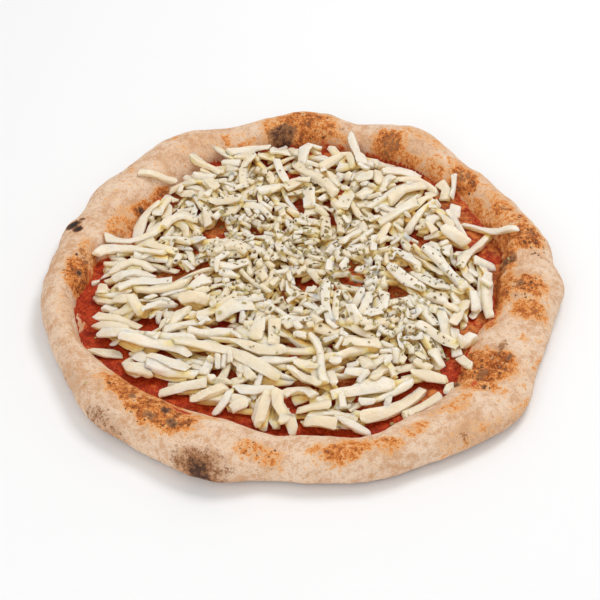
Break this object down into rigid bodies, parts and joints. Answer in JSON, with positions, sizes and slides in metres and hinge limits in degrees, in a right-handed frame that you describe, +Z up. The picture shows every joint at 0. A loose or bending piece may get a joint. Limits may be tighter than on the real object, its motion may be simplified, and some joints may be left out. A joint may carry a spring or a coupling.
{
  "type": "margherita pizza",
  "caption": "Round pizza with an uneven puffed rim, tomato sauce and a lumpy layer of shredded mozzarella with dried oregano.",
  "frame": {"origin": "on the underside, under the middle of the crust's outline", "axes": "+Z up through the toppings; the underside of the dough lies on z = 0"},
  "size_m": [0.3048, 0.3084, 0.0257],
  "materials": {
    "baked_dough": "matt floury crust with toasted patches",
    "tomato_sauce": "moist and granular",
    "mozzarella": "moist and slightly translucent"
  },
  "bodies": {
    "root": {"crust": "baked_dough", "tomato_sauce": "tomato_sauce", "mozzarella_heap": "mozzarella", "stray_shred_upper_left": "mozzarella", "stray_shred_back_hook": "mozzarella", "stray_shred_back_thin": "mozzarella", "stray_shred_right": "mozzarella", "stray_shred_lower_right": "mozzarella"}
  },
  "joints": []
}
